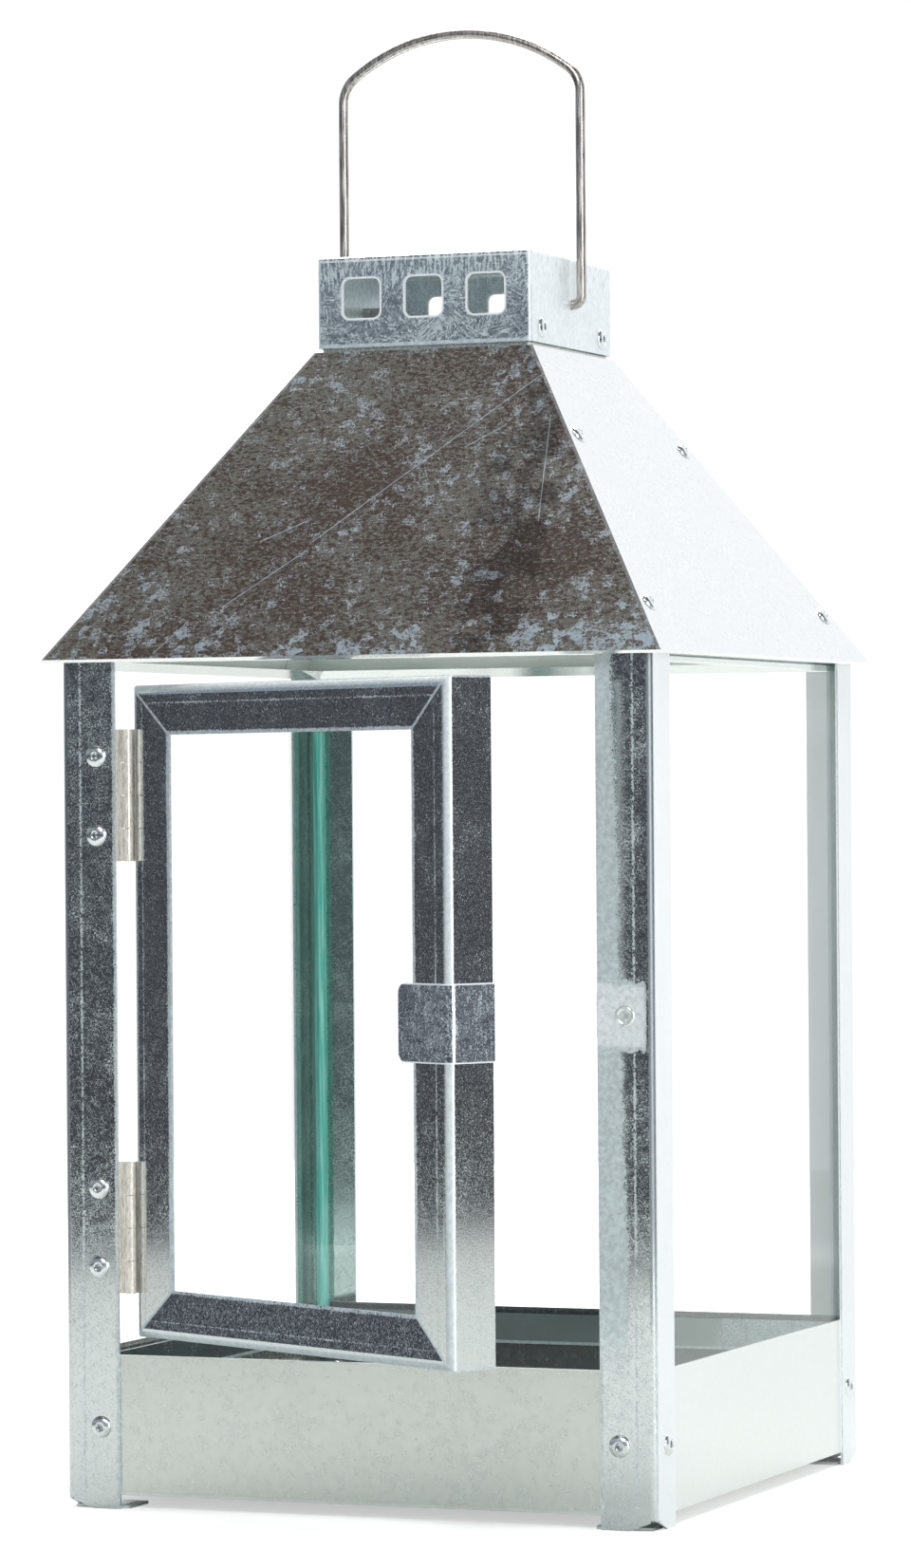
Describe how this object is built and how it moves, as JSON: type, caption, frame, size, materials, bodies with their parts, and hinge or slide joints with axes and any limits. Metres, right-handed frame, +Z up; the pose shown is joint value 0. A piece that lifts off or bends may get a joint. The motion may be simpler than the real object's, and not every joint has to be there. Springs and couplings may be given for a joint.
{
  "type": "candle lantern",
  "caption": "Square metal and glass candle lantern with a hinged door, pyramid roof, vented chimney cap and swinging wire bail.",
  "frame": {"origin": "centre of the square footprint, on the surface that the lantern stands on", "axes": "+Z up; -Y the front, where the door is; +X to the right of a person facing the front"},
  "size_m": [0.18, 0.2369, 0.4106],
  "materials": {
    "dark_zinc": "dark zinc-treated sheet, mottled, satin",
    "tray_zinc": "light grey-green galvanised sheet, satin",
    "roof_zinc": "weathered zinc sheet with spangle and scratches, satin",
    "cap_zinc": "blue-grey zinc sheet, mottled, satin",
    "wire_steel": "drawn wire, satin",
    "hinge_steel": "plain bright steel",
    "spring_steel": "plain spring steel",
    "rivet_metal": "bright",
    "clear_glass": "clear float glass with green edges"
  },
  "bodies": {
    "lantern": {"tray": "tray_zinc", "post_front_left": "dark_zinc", "post_front_right": "dark_zinc", "post_rear_left": "dark_zinc", "post_rear_right": "dark_zinc", "pane_channel_left": "dark_zinc", "pane_channel_right": "dark_zinc", "pane_channel_rear": "dark_zinc", "pane_left": "clear_glass", "pane_right": "clear_glass", "pane_rear": "clear_glass", "eave_frame": "tray_zinc", "roof_front": "roof_zinc", "roof_rear": "roof_zinc", "roof_left": "roof_zinc", "roof_right": "roof_zinc", "collar": "cap_zinc", "cap": "cap_zinc", "tray_rivets": "rivet_metal", "roof_rivets_left": "rivet_metal", "roof_rivets_right": "rivet_metal", "cap_rivets": "rivet_metal", "hinge_upper_post_leaf": "hinge_steel", "hinge_lower_post_leaf": "hinge_steel", "hinge_upper_pin": "hinge_steel", "hinge_lower_pin": "hinge_steel", "hinge_post_rivets": "rivet_metal", "catch_spring": "spring_steel", "catch_rivet": "rivet_metal"},
    "door": {"door_stile_hinge": "dark_zinc", "door_stile_latch": "dark_zinc", "door_rail_top": "dark_zinc", "door_rail_bottom": "dark_zinc", "door_pane": "clear_glass", "door_pane_clips": "spring_steel", "hinge_upper_door_leaf": "hinge_steel", "hinge_lower_door_leaf": "hinge_steel", "hinge_door_rivets": "rivet_metal", "latch_clip": "dark_zinc"},
    "bail": {"bail": "wire_steel"}
  },
  "joints": [
    {"name": "door_hinge", "type": "hinge", "parent": "lantern", "child": "door", "pos_m": [-0.0663, -0.0859, 0.13575], "axis": [0, 0, -1], "range_deg": [-28.1, 136.9]},
    {"name": "bail_swing", "type": "hinge", "parent": "lantern", "child": "bail", "pos_m": [0, 0, 0.3315], "axis": [1, 0, 0], "range_deg": [-110, 110]}
  ]
}
